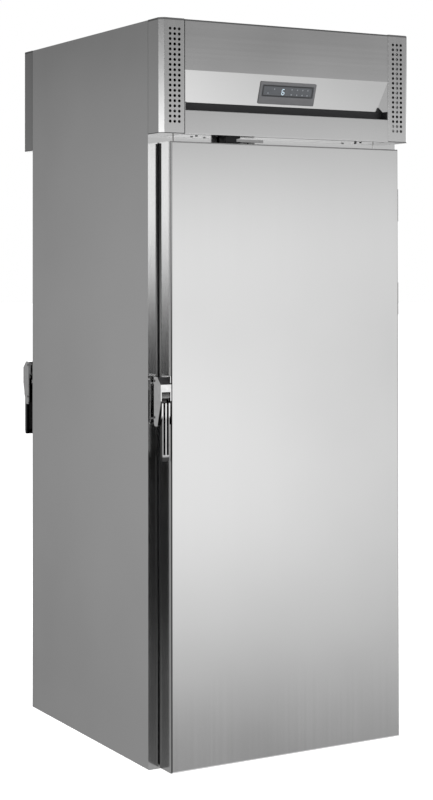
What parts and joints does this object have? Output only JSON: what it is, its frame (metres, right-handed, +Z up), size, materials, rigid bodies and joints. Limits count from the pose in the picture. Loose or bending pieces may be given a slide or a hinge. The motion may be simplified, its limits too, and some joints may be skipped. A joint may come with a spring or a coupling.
{
  "type": "roll-through refrigerator",
  "caption": "Tall stainless roll-through refrigerator: a hinged full-height door and a header at each end, edge latches, sloping control panel, floor-level trolley cabin, cooling unit on top.",
  "frame": {"origin": "middle of the footprint, on the floor", "axes": "+Z up; the front door with the control panel faces -Y, the rear door +Y; +X is the hinge side of both doors"},
  "size_m": [0.9, 1.01, 2.23],
  "materials": {
    "outer_stainless": "satin",
    "inner_stainless": "satin",
    "galvanised_sheet": "matte",
    "latch_chrome": "polished",
    "insulating_foam": "matte",
    "cooler_cover_skin": "satin",
    "gasket_rubber": "matte",
    "mount_rubber": "matte",
    "black_moulding": "satin",
    "bezel_plastic": "satin",
    "display_film": "gloss",
    "lamp_cover": "gloss",
    "black_enamel": "satin",
    "coil_fins": "satin",
    "fan_plastic": "matte",
    "copper_tube": "satin",
    "grey_plastic": "matte"
  },
  "bodies": {
    "root": {"side_panel_left": "outer_stainless", "side_panel_right": "outer_stainless", "side_insulation": "insulating_foam", "ceiling_insulation": "insulating_foam", "side_linings": "inner_stainless", "ceiling_lining": "inner_stainless", "roof_deck": "galvanised_sheet", "floor_plate": "inner_stainless", "frame_posts": "outer_stainless", "frame_rails": "outer_stainless", "bumper_rails": "inner_stainless", "header_pillars": "outer_stainless", "header_soffits": "outer_stainless", "top_ties": "galvanised_sheet", "top_cover": "outer_stainless", "rear_fascia": "outer_stainless", "fascia_pivots": "outer_stainless", "strikes": "latch_chrome", "hinge_frame_leaves": "outer_stainless", "hinge_pins": "outer_stainless", "door_switch_body": "black_moulding", "cooler_cover": "cooler_cover_skin", "evaporator_coil": "coil_fins", "evaporator_fan_motor": "black_enamel", "air_panel": "inner_stainless", "drip_tray": "inner_stainless", "cabin_lamp": "lamp_cover", "unit_base": "galvanised_sheet", "compressor": "black_enamel", "compressor_mounts": "mount_rubber", "condenser_coil": "coil_fins", "fan_shroud": "galvanised_sheet", "condenser_fan_motor": "black_enamel", "refrigerant_pipes": "copper_tube", "electric_box": "grey_plastic", "supply_gland": "black_moulding", "cabinet_screws": "outer_stainless"},
    "front_door": {"front_door_skin": "outer_stainless", "front_door_core": "insulating_foam", "front_door_liner": "inner_stainless", "front_door_gasket": "gasket_rubber", "front_door_hinge_leaves": "outer_stainless", "front_latch_body": "latch_chrome", "front_latch_pin": "latch_chrome"},
    "rear_door": {"rear_door_skin": "outer_stainless", "rear_door_core": "insulating_foam", "rear_door_liner": "inner_stainless", "rear_door_gasket": "gasket_rubber", "rear_door_hinge_leaves": "outer_stainless", "rear_latch_body": "latch_chrome", "rear_latch_pin": "latch_chrome"},
    "front_latch_lever": {"front_latch_lever": "latch_chrome"},
    "rear_latch_lever": {"rear_latch_lever": "latch_chrome"},
    "front_fascia": {"front_fascia": "outer_stainless", "intake_grille": "black_moulding", "controller": "bezel_plastic", "display_window": "display_film"},
    "condenser_fan": {"condenser_fan": "fan_plastic"},
    "evaporator_fan": {"evaporator_fan": "fan_plastic"},
    "door_switch_lever": {"door_switch_lever": "latch_chrome"}
  },
  "joints": [
    {"name": "front_door_swing", "type": "hinge", "parent": "root", "child": "front_door", "pos_m": [0.4255, -0.448, 0.9], "axis": [0, 0, 1], "range_deg": [0, 110]},
    {"name": "rear_door_swing", "type": "hinge", "parent": "root", "child": "rear_door", "pos_m": [0.4255, 0.448, 0.9], "axis": [0, 0, -1], "range_deg": [0, 110]},
    {"name": "front_lever_pull", "type": "hinge", "parent": "front_door", "child": "front_latch_lever", "pos_m": [-0.432, -0.493, 1.113], "axis": [-1, 0, 0], "range_deg": [0, 50], "stiffness_Nm_per_rad": 1, "springref_deg": -11.46},
    {"name": "rear_lever_pull", "type": "hinge", "parent": "rear_door", "child": "rear_latch_lever", "pos_m": [-0.432, 0.493, 1.113], "axis": [1, 0, 0], "range_deg": [0, 50], "stiffness_Nm_per_rad": 1, "springref_deg": -11.46},
    {"name": "fascia_lift", "type": "hinge", "parent": "root", "child": "front_fascia", "pos_m": [0, -0.496, 2.217], "axis": [-1, 0, 0], "range_deg": [0, 80]},
    {"name": "condenser_fan_spin", "type": "hinge", "parent": "root", "child": "condenser_fan", "pos_m": [0.21, -0.3045, 2.058], "axis": [0, 1, 0], "continuous": true},
    {"name": "evaporator_fan_spin", "type": "hinge", "parent": "root", "child": "evaporator_fan", "pos_m": [-0.17, 0.165, 1.915], "axis": [0, 0, 1], "continuous": true},
    {"name": "door_switch_swing", "type": "hinge", "parent": "root", "child": "door_switch_lever", "pos_m": [-0.164, -0.451, 1.878], "axis": [0, 0, -1], "range_deg": [0, 12]}
  ],
  "couplings": [
    {"joint": "door_switch_swing", "follows": "front_door_swing", "ratio": 0.109}
  ]
}
